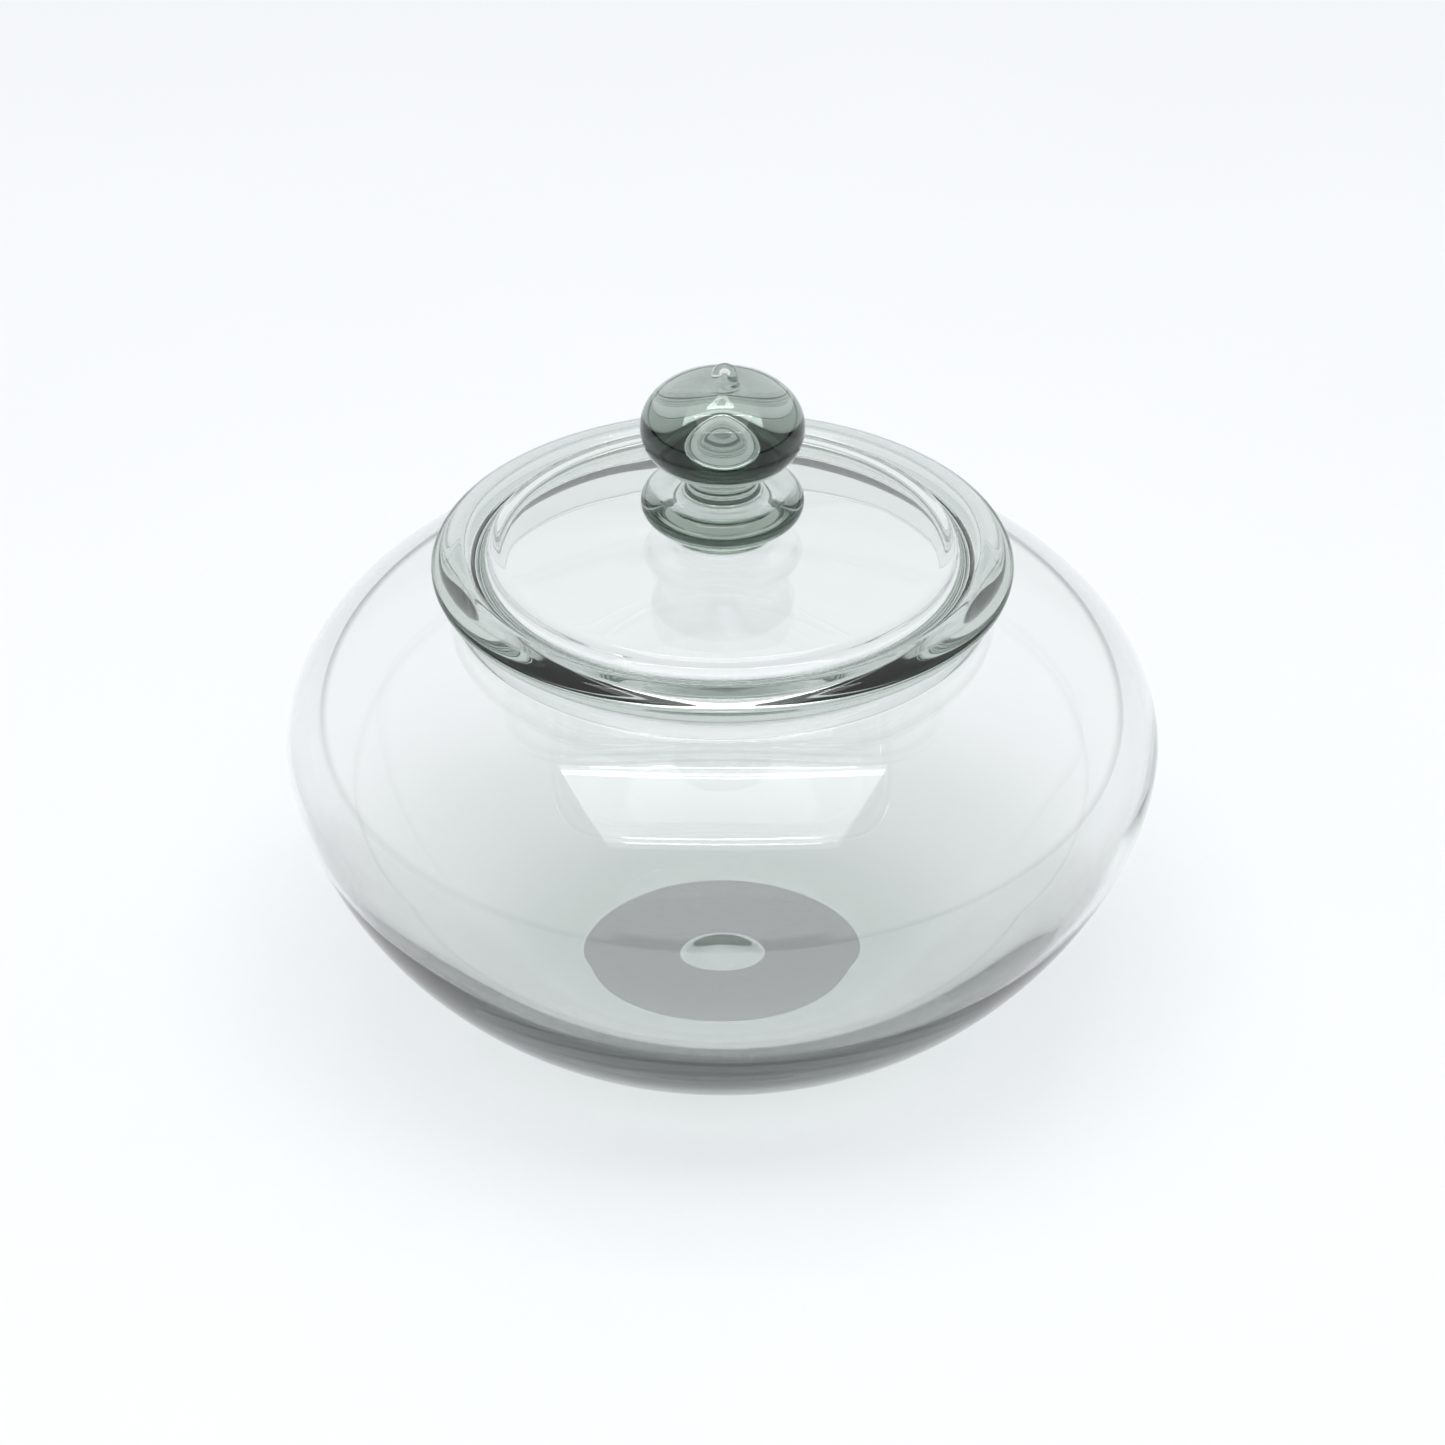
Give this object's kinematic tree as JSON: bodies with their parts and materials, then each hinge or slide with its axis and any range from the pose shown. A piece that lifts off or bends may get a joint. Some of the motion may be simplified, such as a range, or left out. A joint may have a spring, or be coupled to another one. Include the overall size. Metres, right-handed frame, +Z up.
{
  "type": "lidded specimen jar",
  "caption": "Squat blown glass jar with a wide shoulder, heavy bottom, short neck and a loose flanged lid with a knob.",
  "frame": {"origin": "on the table, at the jar's axis, in the plane of the ground flat that it stands on", "axes": "+Z up along the jar's axis; the curled tip of the knob leans towards -X; -Y is the front"},
  "size_m": [0.2, 0.2, 0.1629],
  "materials": {
    "jar_glass": "clear smoke grey, fire polished",
    "lid_glass": "clear smoke grey, fire polished, with faint tool marks"
  },
  "bodies": {
    "jar": {"jar_body": "jar_glass"},
    "lid": {"lid_shell": "lid_glass", "knob_foot": "lid_glass", "knob_disc": "lid_glass", "knob_ball": "lid_glass"}
  },
  "joints": [
    {"name": "lid_lift", "type": "slide", "parent": "jar", "child": "lid", "axis": [0, 0, 1], "range_m": [0, 0.12]}
  ]
}
